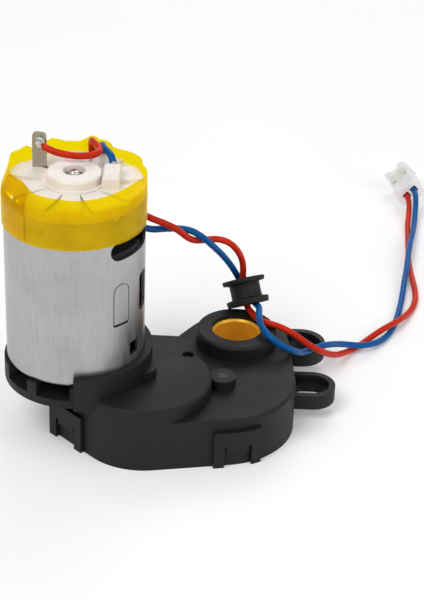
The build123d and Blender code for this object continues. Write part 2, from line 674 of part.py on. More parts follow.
with BuildPart() as armature_shaft:
    with BuildSketch(Plane.XY.offset(8.6)):
        with Locations((MOTOR_X, MOTOR_Y)):
            Circle(SHAFT_R)
    extrude(amount=HUB_TOP_Z - 8.6)
    fillet(armature_shaft.faces().sort_by(Axis.Z)[-1].edges(), 0.6)
save(armature_shaft.part, "armature_shaft")


with BuildPart() as armature_core:
    with BuildSketch(Plane.XY.offset(STACK_Z[0])):
        with Locations((MOTOR_X, MOTOR_Y)):
            Circle(STACK_R)
            Circle(SHAFT_R, mode=Mode.SUBTRACT)
            with PolarLocations(STACK_R - 3.4, 5, start_angle=18):
                Rectangle(6.0, 3.8, mode=Mode.SUBTRACT)
            with PolarLocations(STACK_R, 5, start_angle=18):
                Rectangle(3.0, 1.4, mode=Mode.SUBTRACT)
    extrude(amount=STACK_Z[1] - STACK_Z[0])
save(armature_core.part, "armature_core")


# Five coils, wound round the poles of the core and bulging past both of its ends.
with BuildPart() as windings:
    with BuildSketch(Plane.XY.offset(STACK_Z[0])):
        with Locations((MOTOR_X, MOTOR_Y)):
            with PolarLocations(STACK_R - 3.4, 5, start_angle=18):
                Rectangle(5.8, 3.6)
    extrude(amount=STACK_Z[1] - STACK_Z[0])
    for level, amount in ((STACK_Z[0], -2.6), (STACK_Z[1], 2.6)):
        with BuildSketch(Plane.XY.offset(level)):
            add(ring_sketch(MOTOR_X, MOTOR_Y, 9.2, 2.4))
        extrude(amount=amount)
save(windings.part, "windings")


with BuildPart() as commutator:
    with BuildSketch(Plane.XY.offset(COMMUTATOR_Z[0])):
        add(ring_sketch(MOTOR_X, MOTOR_Y, COMMUTATOR_R, SHAFT_R))
        with Locations((MOTOR_X, MOTOR_Y)):
            with PolarLocations(COMMUTATOR_R, 5, start_angle=54):
                Rectangle(1.4, 0.3, mode=Mode.SUBTRACT)
    extrude(amount=COMMUTATOR_Z[1] - COMMUTATOR_Z[0])
save(commutator.part, "commutator")


with BuildPart() as shaft_washers:
    for level in (CAN_BOTTOM_Z + 1.6, 49.7):
        with BuildSketch(Plane.XY.offset(level)):
            add(ring_sketch(MOTOR_X, MOTOR_Y, 2.2, SHAFT_R))
        extrude(amount=0.4)
save(shaft_washers.part, "shaft_washers")


with BuildPart() as magnets:
    with BuildSketch(Plane.XY.offset(MAGNET_Z[0])):
        add(ring_sketch(MOTOR_X, MOTOR_Y, MAGNET_R[1], MAGNET_R[0]))
        with Locations((MOTOR_X, MOTOR_Y)):
            Rectangle(2 * CAN_R, 6.0, mode=Mode.SUBTRACT)
    extrude(amount=MAGNET_Z[1] - MAGNET_Z[0])
save(magnets.part, "magnets")


# Two bent springs push the magnets apart, one in each gap between them.
with BuildPart() as magnet_springs:
    with BuildSketch(Plane.XY.offset(MAGNET_Z[0])):
        for side in (-1, 1):
            with Locations((MOTOR_X + side * 11.9, MOTOR_Y)):
                Rectangle(0.5, 5.0)
    extrude(amount=MAGNET_Z[1] - MAGNET_Z[0] - 2.0)
save(magnet_springs.part, "magnet_springs")


for name, z0, height in (
    ("front_bearing", CAN_BOTTOM_Z - 1.2, 2.6),
    ("rear_bearing", HUB_TOP_Z - 5.0, 3.6),
):
    with BuildPart() as bush:
        with BuildSketch(Plane.XY.offset(z0)):
            add(ring_sketch(MOTOR_X, MOTOR_Y, BUSH_R, SHAFT_R + 0.03))
        extrude(amount=height)
    save(bush.part, name)


BRUSH_Z = (46.4, 48.6)
with BuildPart() as carbon_brushes:
    with BuildSketch(Plane.XY.offset(BRUSH_Z[0])):
        for side in (-1, 1):
            with Locations((MOTOR_X + side * (COMMUTATOR_R + 1.4), MOTOR_Y)):
                Rectangle(2.6, 2.4)
    extrude(amount=BRUSH_Z[1] - BRUSH_Z[0])
save(carbon_brushes.part, "carbon_brushes")


# Each brush hangs on a springy arm that leads up to its terminal.
with BuildPart() as brush_arms:
    for side in (-1, 1):
        with BuildSketch(Plane.XY.offset(46.2)):
            with Locations((MOTOR_X + side * (COMMUTATOR_R + 2.9), MOTOR_Y + 2.2)):
                Rectangle(0.4, 6.8)
        extrude(amount=ENDBELL_Z0 - 46.2)
save(brush_arms.part, "brush_arms")


for name, x, y, top in TERMINALS:
    with BuildPart() as blade:
        with BuildSketch(Plane((x, y, ENDBELL_Z0 + 0.1), x_dir=(1, 0, 0), z_dir=(0, -1, 0))):
            with Locations((0, (top - ENDBELL_Z0 - 0.1) / 2)):
                Rectangle(2.8, top - ENDBELL_Z0 - 0.1)
        extrude(amount=0.2, both=True)
        corners = blade.edges().filter_by(Axis.Y).group_by(Axis.Z)[-1]
        fillet(corners, 1.1)
        if name == "left_terminal":
            with BuildSketch(Plane((x, y, top - 1.7), x_dir=(1, 0, 0), z_dir=(0, -1, 0))):
                Circle(0.6)
            extrude(amount=0.3, both=True, mode=Mode.SUBTRACT)
    save(blade.part, name)


with BuildPart() as motor_screws:
    with BuildSketch(Plane.XY.offset(SCREW_HEAD_Z[0])):
        with Locations(*SCREW_PLACES):
            Circle(SCREW_HEAD_R)
    extrude(amount=SCREW_HEAD_Z[1] - SCREW_HEAD_Z[0])
    with BuildSketch(Plane.XY.offset(SCREW_HEAD_Z[0] + 0.1)):
        with Locations(*SCREW_PLACES):
            Circle(SCREW_R)
    extrude(amount=CAN_BOTTOM_Z + 1.4 - SCREW_HEAD_Z[0] - 0.1)
    # crossed recess in each head
    with BuildSketch(Plane.XY.offset(SCREW_HEAD_Z[0])):
        with Locations(*SCREW_PLACES):
            Rectangle(2.4, 0.5)
            Rectangle(0.5, 2.4)
    extrude(amount=0.7, mode=Mode.SUBTRACT)
save(motor_screws.part, "motor_screws")


# ---------------------------------------------------------------- leads, grommet and plug
def unit(x, y, z):
    """A direction as a vector of length one."""
    return Vector(x, y, z).normalized()


# The grommet leans back against the rear rim of the output boss.
GROMMET_FOOT = Vector(15.55, 19.1, 14.4)
GROMMET_AXIS = unit(-0.25, 0.50, 0.83)
GROMMET_L = 5.9
GROMMET_FLANGE_R, GROMMET_NECK_R, GROMMET_BORE_R = 4.65, 3.3, 2.3
GROMMET_LEVELS = ((0.0, 1.3), (4.8, GROMMET_L))
GROMMET_PLANE = Plane(origin=GROMMET_FOOT, x_dir=(1, 0.1333, 0.2209), z_dir=GROMMET_AXIS)

# The plug lies on one long edge, its wire side towards the gearbox.
PLUG_W, PLUG_T, PLUG_L = 6.0, 4.6, 10.2
PLUG_PITCH = 2.4
RIB_X, RIB_L = 1.9, 3.4    # the two polarising ribs: distance off the middle, and length
PLUG_BACK = unit(-0.17, 0.985, 0)
PLUG_FACE = Vector(57.95, 98.7, 3.9)
PLUG_PLANE = Plane(origin=PLUG_FACE, x_dir=(0.676, 0.2065, 0.7071), z_dir=PLUG_BACK)
PLUG_ENTRIES = [PLUG_PLANE.from_local_coords(Vector(side * PLUG_PITCH / 2, 0, 0)) for side in (-1, 1)]
WIRE_IN_PLUG = 1.5


def plug_run(entry):
    """The last two points of a lead, straight into its cavity of the plug."""
    return [tuple(entry - PLUG_BACK * 2.2), tuple(entry + PLUG_BACK * WIRE_IN_PLUG)]


def in_grommet(along, right, back):
    """A point inside the grommet: along its axis from the foot, and off the axis."""
    return tuple(GROMMET_PLANE.from_local_coords(Vector(right, back, along)))


RED_ROUTE = [
    # from the front of the left terminal, over the hub, and curling back on the rear rim
    (-25.9, -0.95, 59.4),
    (-24.2, -1.6, 58.8),
    (-22.2, -2.1, 58.5),
    (-19.4, -2.3, 58.3),
    (-16.6, -1.3, 58.2),
    (-14.9, 1.0, 58.4),
    (-15.7, 3.6, 58.6),
    (-17.0, 5.9, 58.4),
    (-17.3, 8.3, 57.4),
    # down the back of the can, under the tape
    (-17.4, 9.15, 54.9),
    (-17.2, 9.1, 50.4),
    (-16.4, 10.0, 45.4),
    # free, across to the grommet, once round the other lead
    (-12.2, 10.9, 43.0),
    (-9.2, 9.6, 41.8),
    (-6.2, 7.5, 40.7),
    (-2.3, 8.4, 38.8),
    (0.2, 9.6, 36.9),
    (2.8, 12.0, 33.3),
    (5.2, 14.9, 31.9),
    (8.2, 16.9, 31.4),
    (11.0, 17.6, 30.2),
    (13.1, 19.2, 27.0),
    (14.1, 20.4, 23.4),
    in_grommet(GROMMET_L - 0.2, -0.1, -0.5),
    in_grommet(-0.1, -0.7, -0.6),
    # over the top of the boss and down to the surface
    (16.9, 14.2, 14.6),
    (18.9, 11.8, 14.55),
    (21.5, 10.5, 14.55),
    (24.4, 10.7, 13.0),
    (26.6, 11.4, 11.0),
    (28.8, 12.0, 9.0),
    (31.3, 13.2, 6.9),
    (34.5, 16.9, 3.7),
    (37.3, 21.8, 1.5),
    (40.1, 25.5, 0.75),
    (42.7, 28.7, 0.9),
    (45.3, 30.7, 1.9),
    (48.0, 32.6, 2.7),
    (50.8, 36.7, 1.9),
    (53.3, 41.9, 0.75),
    (54.9, 46.2, 0.8),
    (55.5, 51.1, 0.75),
    (55.3, 57.4, 0.8),
    (55.0, 63.9, 0.75),
    (55.4, 72.1, 0.8),
    (56.0, 80.1, 0.75),
    (56.4, 86.5, 0.8),
    (57.1, 91.2, 1.6),
]

BLUE_ROUTE = [
    # from behind the right terminal, back under the other lead and over the rear rim
    (-12.5, 0.0, 55.6),
    (-12.75, 0.9, 56.6),
    (-13.3, 2.3, 56.9),
    (-14.2, 4.1, 56.8),
    (-15.0, 6.1, 56.8),
    (-15.2, 8.1, 56.3),
    (-15.0, 8.8, 54.3),
    (-14.9, 8.7, 49.9),
    (-14.5, 8.6, 44.2),
    (-11.5, 8.8, 39.8),
    (-6.1, 7.5, 37.7),
    (-2.3, 10.4, 36.7),
    (0.4, 12.4, 35.8),
    (3.2, 12.5, 35.3),
    (5.9, 13.0, 33.1),
    (7.5, 15.0, 30.5),
    (9.4, 17.6, 27.3),
    (11.7, 21.1, 22.5),
    in_grommet(GROMMET_L - 0.5, -0.6, 1.35),
    in_grommet(-0.1, 1.35, 0.5),
    # over the other lead, then down between the ears
    (18.1, 15.2, 16.1),
    (18.4, 12.2, 16.2),
    (18.3, 8.7, 15.9),
    (19.4, 6.0, 14.9),
    (21.8, 4.5, 13.6),
    (24.2, 5.0, 12.0),
    (26.0, 7.2, 10.2),
    (27.1, 9.9, 8.4),
    (28.1, 12.4, 7.2),
    (30.0, 14.3, 6.98),
    (32.7, 16.6, 6.6),
    (35.7, 20.9, 4.3),
    (38.6, 23.2, 2.8),
    (41.3, 23.9, 2.2),
    (44.5, 26.7, 1.3),
    (46.9, 30.1, 0.75),
    (48.8, 34.0, 0.8),
    (50.3, 39.6, 0.75),
    (52.0, 48.1, 0.8),
    (53.0, 55.0, 1.3),
    (54.0, 60.3, 2.1),
    (54.6, 65.0, 2.4),
    (55.5, 71.0, 2.6),
    (56.8, 78.2, 2.2),
    (57.9, 84.6, 1.2),
    (58.6, 90.4, 2.4),
]


def lead_radii(route):
    """Arc radius at each inner point: 0.45 of the shorter run over tan of half the turn."""
    radii = []
    for before, here, after in zip(route, route[1:], route[2:]):
        run_in = Vector(*here) - Vector(*before)
        run_out = Vector(*after) - Vector(*here)
        turn = radians(run_in.get_angle(run_out))
        radii.append(0.45 * min(run_in.length, run_out.length) / tan(turn / 2))
    return radii


def lead_tube(route):
    """A plain round tube along straight runs joined by tangent arcs."""
    radii = lead_radii(route)
    with BuildPart() as tube:
        with BuildLine():
            path = FilletPolyline(*route, radius=radii)
        with BuildSketch(Plane(origin=path @ 0, z_dir=path % 0)):
            Circle(LEAD_D / 2)
        sweep(path=path)
    section = pi * LEAD_D ** 2 / 4
    print(f"radii {[round(r, 1) for r in radii]}")
    print(f"length {path.length:.1f}  volume {tube.part.volume:.1f}  section x length {section * path.length:.1f}")
    return tube.part


save(lead_tube(RED_ROUTE + plug_run(PLUG_ENTRIES[0])), "red_lead")
save(lead_tube(BLUE_ROUTE + plug_run(PLUG_ENTRIES[1])), "blue_lead")


with BuildPart() as grommet:
    with BuildSketch(GROMMET_PLANE):
        Circle(GROMMET_NECK_R)
    extrude(amount=GROMMET_L)
    for level, end in GROMMET_LEVELS:
        with BuildSketch(GROMMET_PLANE.offset(level)):
            Circle(GROMMET_FLANGE_R)
        extrude(amount=end - level)
    fillet(grommet.edges().filter_by(GeomType.CIRCLE).group_by(SortBy.RADIUS)[-1], 0.3)
    with BuildSketch(GROMMET_PLANE):
        Circle(GROMMET_BORE_R)
    extrude(amount=GROMMET_L, mode=Mode.SUBTRACT)
save(grommet.part, "grommet")


with BuildPart() as connector_housing:
    with BuildSketch(PLUG_PLANE):
        Rectangle(PLUG_W, PLUG_T)
    extrude(amount=PLUG_L)
    # two polarising ribs at the mating end
    with BuildSketch(PLUG_PLANE.offset(PLUG_L - RIB_L)):
        with Locations((-RIB_X, -PLUG_T / 2), (RIB_X, -PLUG_T / 2)):
            Rectangle(1.4, 1.6)
    extrude(amount=RIB_L)
    with BuildSketch(PLUG_PLANE):
        for side in (-1, 1):
            with Locations((side * PLUG_PITCH / 2, 0)):
                Circle(0.85)
    extrude(amount=PLUG_L - 0.8, mode=Mode.SUBTRACT)
save(connector_housing.part, "connector_housing")


with BuildPart() as connector_contacts:
    with BuildSketch(PLUG_PLANE.offset(WIRE_IN_PLUG + 0.1)):
        for side in (-1, 1):
            with Locations((side * PLUG_PITCH / 2, 0)):
                Circle(0.84)
                Rectangle(0.7, 0.7, mode=Mode.SUBTRACT)
    extrude(amount=PLUG_L - 0.9 - WIRE_IN_PLUG)
save(connector_contacts.part, "connector_contacts")


# Insulation tape round the rim of the can and the endbell, bulging over the two leads.
TAPE_Z0, TAPE_Z1 = 46.7, 57.6
BLISTER_R = 1.15


def tape_outline(grow):
    """Round the can, with a blister over each lead at the back."""
    with BuildSketch() as outline:
        with Locations((MOTOR_X, MOTOR_Y)):
            Circle(CAN_R + 0.05 + grow)
        with Locations((-17.4, 9.5), (-14.9, 9.1)):
            Circle(BLISTER_R + grow)
        make_hull()
    return outline.sketch


with BuildPart() as insulation_tape:
    with BuildSketch(Plane.XY.offset(TAPE_Z0)):
        add(tape_outline(TAPE_T))
        add(tape_outline(0.0), mode=Mode.SUBTRACT)
    extrude(amount=TAPE_Z1 - TAPE_Z0)
save(insulation_tape.part, "insulation_tape")


# Solder on the outer face of each terminal, just short of the end of its lead.
SOLDER_D = 1.6
for name, (_, x, y, _), facing, offset, z in (
    ("red_solder", TERMINALS[0], -1, 0.2, 59.6),
    ("blue_solder", TERMINALS[1], 1, 0.0, 55.5),
):
    with BuildPart() as solder:
        with BuildSketch(Plane((x + offset, y + facing * 0.2, z), x_dir=(1, 0, 0), z_dir=(0, facing, 0))):
            Circle(SOLDER_D / 2)
        extrude(amount=0.5, taper=30)
    save(solder.part, name)
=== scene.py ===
"""Looks of the geared dc motor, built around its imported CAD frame.

Lengths are in millimetres in the frame of the part, and MM turns them into Blender's
metres.  The camera comes first, then the shaders, and the makers of the leads, the plug,
the grommet, the tape and the solder.  After them stand the materials, the building of
the pieces, and the floor and the lights, whose sizes are in metres.
"""
import json
import math

import bmesh
import bpy
from mathutils import Matrix, Vector, noise


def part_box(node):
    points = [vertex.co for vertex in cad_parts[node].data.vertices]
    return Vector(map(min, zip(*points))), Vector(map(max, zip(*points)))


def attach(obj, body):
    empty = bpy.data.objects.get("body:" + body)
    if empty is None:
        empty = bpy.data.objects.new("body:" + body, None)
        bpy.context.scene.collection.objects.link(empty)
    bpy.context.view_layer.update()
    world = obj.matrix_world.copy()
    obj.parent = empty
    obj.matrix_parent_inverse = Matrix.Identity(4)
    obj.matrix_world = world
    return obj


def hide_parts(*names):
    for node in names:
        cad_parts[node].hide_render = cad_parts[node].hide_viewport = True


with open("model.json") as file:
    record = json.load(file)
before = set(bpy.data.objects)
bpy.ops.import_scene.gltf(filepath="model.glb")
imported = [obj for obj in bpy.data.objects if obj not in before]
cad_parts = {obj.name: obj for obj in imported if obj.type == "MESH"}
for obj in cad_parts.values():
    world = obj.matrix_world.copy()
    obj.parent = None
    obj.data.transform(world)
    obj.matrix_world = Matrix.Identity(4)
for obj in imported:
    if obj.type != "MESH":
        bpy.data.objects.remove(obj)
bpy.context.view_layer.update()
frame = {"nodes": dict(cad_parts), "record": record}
NODES = frame["nodes"]
MM = 0.001
ROOT = "gearbox"


def mm(point):
    """A point in millimetres as a vector in metres."""
    return Vector(point) * MM


# ---------------------------------------------------------------- places read from the frame
can_low, can_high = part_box("motor_can")
CAN_X = (can_low.x + can_high.x) / 2 / MM
CAN_Y = (can_low.y + can_high.y) / 2 / MM
LEAD_D = 1.4


def around(radius, bearing, z=0.0):
    """A point at a radius and bearing, in degrees, from the motor axis, in millimetres."""
    a = math.radians(bearing)
    return (CAN_X + radius * math.cos(a), CAN_Y + radius * math.sin(a), z)


# ---------------------------------------------------------------- camera
CAMERA_PLACE = (7.61, -304.3, 199.7)
CAMERA_PITCH = 0.51831     # below the horizon, in radians
CAMERA_ROLL = 0.0357
CAMERA_LENS = 103.724      # on Blender's 36 mm sensor


def add_camera():
    camera = bpy.data.objects.new("camera", bpy.data.cameras.new("camera"))
    bpy.context.scene.collection.objects.link(camera)
    bpy.context.scene.camera = camera
    camera.data.lens = CAMERA_LENS
    camera.data.sensor_width = 36.0
    camera.data.clip_start = 0.01
    camera.data.clip_end = 10.0
    c, s = math.cos(CAMERA_PITCH), math.sin(CAMERA_PITCH)
    ahead, right, up = Vector((0, c, -s)), Vector((1, 0, 0)), Vector((0, s, c))
    cr, sr = math.cos(CAMERA_ROLL), math.sin(CAMERA_ROLL)
    right, up = cr * right + sr * up, -sr * right + cr * up
    turn = Matrix((right, up, -ahead)).transposed().to_4x4()
    camera.matrix_world = Matrix.Translation(mm(CAMERA_PLACE)) @ turn


add_camera()


# ---------------------------------------------------------------- shader helpers
class Shader:
    """A node tree under construction, with short calls for the nodes used here."""

    def __init__(self, name):
        self.material = bpy.data.materials.new(name)
        self.material.use_nodes = True
        self.tree = self.material.node_tree
        self.tree.nodes.clear()
        self.output = self.node("ShaderNodeOutputMaterial")
        self.body = self.node("ShaderNodeBsdfPrincipled")
        self.join(self.body.outputs[0], self.output.inputs["Surface"])
        self.place = self.node("ShaderNodeTexCoord").outputs["Object"]

    def node(self, kind, **settings):
        made = self.tree.nodes.new(kind)
        for key, value in settings.items():
            setattr(made, key, value)
        return made

    def join(self, source, target):
        self.tree.links.new(source, target)

    def stretched(self, scale):
        """Object coordinates stretched by a factor along each axis."""
        mapping = self.node("ShaderNodeMapping")
        mapping.inputs["Scale"].default_value = scale
        self.join(self.place, mapping.inputs["Vector"])
        return mapping.outputs[0]

    def noise(self, per_mm, detail=3.0, roughness=0.55, vector=None):
        """Noise with that many features to the millimetre."""
        made = self.node("ShaderNodeTexNoise")
        made.inputs["Scale"].default_value = per_mm / MM
        made.inputs["Detail"].default_value = detail
        made.inputs["Roughness"].default_value = roughness
        self.join(vector or self.place, made.inputs["Vector"])
        return made.outputs["Fac"]

    def span(self, source, low, high, from_low=0.3, from_high=0.7):
        """A value moved from one range to another, clamped."""
        made = self.node("ShaderNodeMapRange")
        made.inputs["From Min"].default_value = from_low
        made.inputs["From Max"].default_value = from_high
        made.inputs["To Min"].default_value = low
        made.inputs["To Max"].default_value = high
        self.join(source, made.inputs["Value"])
        return made.outputs[0]

    def blend(self, share, first, second):
        """A mix of two colours, each a socket or a plain colour."""
        made = self.node("ShaderNodeMix", data_type="RGBA")
        self.put(share, made.inputs[0])
        self.put(first, made.inputs[6])
        self.put(second, made.inputs[7])
        return made.outputs[2]

    def put(self, value, target):
        if isinstance(value, bpy.types.NodeSocket):
            self.join(value, target)
        elif isinstance(value, tuple):
            target.default_value = (*value, 1.0)
        else:
            target.default_value = value

    def bump(self, source, height_mm, strength=1.0, under=None):
        made = self.node("ShaderNodeBump")
        made.inputs["Strength"].default_value = strength
        made.inputs["Distance"].default_value = height_mm * MM
        self.join(source, made.inputs["Height"])
        if under is not None:
            self.join(under, made.inputs["Normal"])
        return made.outputs[0]

    def finish(self, colour, rough, normal=None, **plain):
        self.put(colour, self.body.inputs["Base Color"])
        self.put(rough, self.body.inputs["Roughness"])
        if normal is not None:
            self.join(normal, self.body.inputs["Normal"])
        for key, value in plain.items():
            self.body.inputs[key.replace("_", " ")].default_value = value
        return self.material


def tinted(colour, factor):
    return tuple(min(1.0, c * factor) for c in colour)


def moulded_plastic(name, colour, rough, grain_mm=0.02, gloss=0.5, dust=None):
    """Moulded plastic: soft blotches, a fine spark-eroded grain and a few scuffs."""
    s = Shader(name)
    cloud = s.noise(0.09, detail=4)
    speck = s.noise(3.5, detail=2)
    base = s.blend(s.span(cloud, 0, 1), tinted(colour, 0.86), tinted(colour, 1.14))
    base = s.blend(s.span(speck, 0, 0.35, 0.52, 0.75), base, dust or tinted(colour, 1.35))
    grain = s.bump(s.noise(6.0, detail=2), grain_mm, 0.55)
    normal = s.bump(s.noise(0.35, detail=2), grain_mm * 2, 0.3, under=grain)
    return s.finish(base, s.span(cloud, rough - 0.06, rough + 0.08), normal, Specular_IOR_Level=gloss)


def metal(name, colour, rough, stretch=(1, 1, 1), streak=2.0, spread=0.16, bump_mm=0.01, metallic=1.0):
    """Worked metal: streaks along the way it was worked, and a cloudy tarnish."""
    s = Shader(name)
    worked = s.noise(streak, detail=4, vector=s.stretched(stretch))
    cloud = s.noise(0.14, detail=4)
    base = s.blend(s.span(worked, 0, 1, 0.25, 0.75), tinted(colour, 1 - spread), tinted(colour, 1 + spread))
    base = s.blend(s.span(cloud, 0, 0.35, 0.45, 0.7), base, tinted(colour, 0.72))
    return s.finish(base, s.span(worked, rough - 0.07, rough + 0.1, 0.25, 0.75), s.bump(worked, bump_mm, 0.4),
                    Metallic=metallic)


def wire_insulation(name, colour):
    """Smooth pvc, slightly uneven in gloss, with faint rubs."""
    s = Shader(name)
    cloud = s.noise(0.25, detail=3)
    base = s.blend(s.span(cloud, 0, 1), tinted(colour, 0.85), tinted(colour, 1.1))
    return s.finish(base, s.span(s.noise(1.2), 0.26, 0.42), s.bump(s.noise(2.5), 0.012, 0.35),
                    Specular_IOR_Level=0.14)


# ---------------------------------------------------------------- piece helpers
def add_piece(name, mesh_or_curve, material, body=ROOT):
    piece = bpy.data.objects.new(name, mesh_or_curve)
    bpy.context.scene.collection.objects.link(piece)
    mesh_or_curve.materials.append(material)
    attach(piece, body)
    return piece


def mesh_from(bm, name, smooth=True):
    bmesh.ops.recalc_face_normals(bm, faces=bm.faces)
    mesh = bpy.data.meshes.new(name)
    bm.to_mesh(mesh)
    bm.free()
    for face in mesh.polygons:
        face.use_smooth = smooth
    return mesh


def grid_faces(bm, rows, close_rows=False, close_columns=False):
    """Quads between rows of vertices of equal length."""
    count = len(rows[0])
    for i in range(len(rows) if close_rows else len(rows) - 1):
        for j in range(count if close_columns else count - 1):
            k = (j + 1) % count
            n = (i + 1) % len(rows)
            bm.faces.new((rows[i][j], rows[i][k], rows[n][k], rows[n][j]))


# ---------------------------------------------------------------- leads
def square_to(direction, axis):
    """The part of a direction that is square to an axis, one unit long."""
    direction = Vector(direction)
    return (direction - axis * direction.dot(axis)).normalized()


GROMMET_FOOT = Vector((15.55, 19.1, 14.4))
GROMMET_AXIS = Vector((-0.25, 0.50, 0.83)).normalized()
GROMMET_L = 5.9
GROMMET_SIDE = square_to((1, 0.1333, 0.2209), GROMMET_AXIS)
GROMMET_REAR = GROMMET_AXIS.cross(GROMMET_SIDE)

PLUG_BACK = Vector((-0.17, 0.985, 0)).normalized()
PLUG_FACE = Vector((57.95, 98.7, 3.9))
PLUG_SIDE = square_to((0.676, 0.2065, 0.7071), PLUG_BACK)
PLUG_UP = PLUG_BACK.cross(PLUG_SIDE)
PLUG_PITCH = 2.4
PLUG_W, PLUG_T, PLUG_L = 6.0, 4.6, 10.2
WIRE_IN_PLUG = 1.5
WIRE_STRAIGHT = 2.2        # in front of the plug


def in_grommet(along, right, back):
    """A point inside the grommet: along its axis from the foot, and off the axis."""
    return GROMMET_FOOT + GROMMET_SIDE * right + GROMMET_REAR * back + GROMMET_AXIS * along


def plug_run(side):
    """The last two points of a lead, straight into its cavity of the plug."""
    entry = PLUG_FACE + PLUG_SIDE * (side * PLUG_PITCH / 2)
    return [entry - PLUG_BACK * WIRE_STRAIGHT, entry + PLUG_BACK * WIRE_IN_PLUG]


RED_ROUTE = [
    (-25.9, -0.95, 59.4),
    (-24.2, -1.6, 58.8),
    (-22.2, -2.1, 58.5),
    (-19.4, -2.3, 58.2),
    (-16.6, -1.3, 58.0),
    (-15.1, 0.6, 57.9),
    (-15.6, 3.2, 57.9),
    (-16.9, 5.5, 57.8),
    (-17.3, 8.2, 57.0),
    (-17.4, 9.2, 54.9),
    (-17.2, 9.1, 50.4),
    (-16.4, 10.0, 45.4),
    (-12.2, 10.9, 43.0),
    (-9.2, 9.6, 41.8),
    (-6.2, 7.5, 40.7),
    (-2.3, 8.4, 38.8),
    (0.2, 9.6, 36.9),
    (2.8, 12.0, 33.3),
    (5.2, 14.9, 31.9),
    (8.2, 16.9, 31.4),
    (11.0, 17.6, 30.2),
    (13.1, 19.2, 27.0),
    (14.1, 20.4, 23.4),
    in_grommet(GROMMET_L - 0.2, -0.1, -0.5),
    in_grommet(-0.1, -0.7, -0.6),
    (16.7, 14.2, 14.6),
    (18.6, 11.6, 14.6),
    (21.5, 10.5, 14.55),
    (24.4, 10.7, 13.0),
    (26.6, 11.4, 11.0),
    (28.8, 12.0, 9.0),
    (31.3, 13.2, 6.9),
    (34.5, 16.9, 3.7),
    (37.3, 21.8, 1.5),
    (40.1, 25.5, 0.75),
    (42.7, 28.7, 0.9),
    (45.3, 30.7, 1.9),
    (48.0, 32.6, 2.7),
    (50.8, 36.7, 1.9),
    (53.3, 41.9, 0.75),
    (54.9, 46.2, 0.8),
    (55.5, 51.1, 0.75),
    (55.3, 57.4, 0.8),
    (55.0, 63.9, 0.75),
    (55.4, 72.1, 0.8),
    (56.0, 80.1, 0.75),
    (56.4, 86.5, 0.8),
    (57.1, 91.2, 1.6),
]

BLUE_ROUTE = [
    (-12.5, 0.0, 55.6),
    (-12.75, 0.9, 56.6),
    (-13.3, 2.3, 56.9),
    (-14.2, 4.1, 56.8),
    (-15.0, 6.1, 56.6),
    (-15.2, 8.1, 56.2),
    (-15.0, 8.8, 54.3),
    (-14.9, 8.7, 49.9),
    (-14.5, 8.6, 44.2),
    (-11.5, 8.8, 39.8),
    (-6.1, 7.5, 37.7),
    (-2.3, 10.4, 36.7),
    (0.4, 12.4, 35.8),
    (3.2, 12.5, 35.3),
    (5.9, 13.0, 33.1),
    (7.5, 15.0, 30.5),
    (9.4, 17.6, 27.3),
    (11.7, 21.1, 22.5),
    in_grommet(GROMMET_L - 0.5, -0.6, 1.35),
    in_grommet(-0.1, 1.35, 0.5),
    (17.8, 15.2, 16.2),
    (17.6, 12.2, 16.3),
    (17.9, 8.9, 15.6),
    (19.4, 6.0, 14.9),
    (21.8, 4.5, 13.6),
    (24.2, 5.0, 12.0),
    (26.0, 7.2, 10.2),
    (27.1, 9.9, 8.4),
    (28.1, 12.4, 7.2),
    (30.0, 14.3, 6.98),
    (32.7, 16.6, 6.6),
    (35.7, 20.9, 4.3),
    (38.6, 23.2, 2.8),
    (41.3, 23.9, 2.2),
    (44.5, 26.7, 1.3),
    (46.9, 30.1, 0.75),
    (48.8, 34.0, 0.8),
    (50.3, 39.6, 0.75),
    (52.0, 48.1, 0.8),
    (53.0, 55.0, 1.3),
    (54.0, 60.3, 2.1),
    (54.6, 65.0, 2.4),
    (55.5, 71.0, 2.6),
    (56.8, 78.2, 2.2),
    (57.9, 84.6, 1.2),
    (58.6, 90.4, 2.4),
]


def lead_curve(name, route):
    """A round tube along a smooth spline that has the route's points as its controls."""
    curve = bpy.data.curves.new(name, "CURVE")
    curve.dimensions = "3D"
    spline = curve.splines.new("NURBS")
    spline.points.add(len(route) - 1)
    for point, place in zip(spline.points, route):
        point.co = (*mm(place), 1.0)
    spline.order_u = 3
    spline.use_endpoint_u = True
    curve.resolution_u = 8
    curve.bevel_depth = LEAD_D / 2 * MM
    curve.bevel_resolution = 5
    curve.use_fill_caps = True
    return curve


# ---------------------------------------------------------------- plug
PLUG_EDGE = 0.3
RIB_SIDE, RIB_OUT, RIB_END = 1.9, 0.35, 1.75    # off the middle, off the face, short of the mating end
RIB_HALF = (0.85, 0.85, 1.7)
CAVITY_MIDDLE, CAVITY_HALF = 3.4, (0.86, 0.95, 4.4)
WINDOW_SIDE, WINDOW_END, WINDOW_HALF = 1.5, 4.4, (0.6, 0.7, 0.7)
HOLE_EDGE = 0.12


def box_shell(bm, centre, half, bevel=0.0):
    """A box along the plug's own directions, with rounded edges."""
    made = bmesh.ops.create_cube(bm, size=2.0)
    axes = (PLUG_SIDE, PLUG_UP, PLUG_BACK)
    for vertex in made["verts"]:
        local = vertex.co.copy()
        place = centre + sum((axis * (c * h) for axis, c, h in zip(axes, local, half)), Vector())
        vertex.co = mm(place)
    if bevel:
        edges = list({e for v in made["verts"] for e in v.link_edges})
        bmesh.ops.bevel(bm, geom=edges, offset=bevel * MM, segments=3, affect="EDGES", profile=0.5)


def cut(piece, cutter):
    """Takes the cutter's volume out of the piece for good."""
    modifier = piece.modifiers.new("cut", "BOOLEAN")
    modifier.object = cutter
    modifier.operation = "DIFFERENCE"
    modifier.solver = "EXACT"
    bpy.context.view_layer.update()
    graph = bpy.context.evaluated_depsgraph_get()
    mesh = bpy.data.meshes.new_from_object(piece.evaluated_get(graph))
    piece.modifiers.clear()
    piece.data = mesh
    bpy.data.objects.remove(cutter)


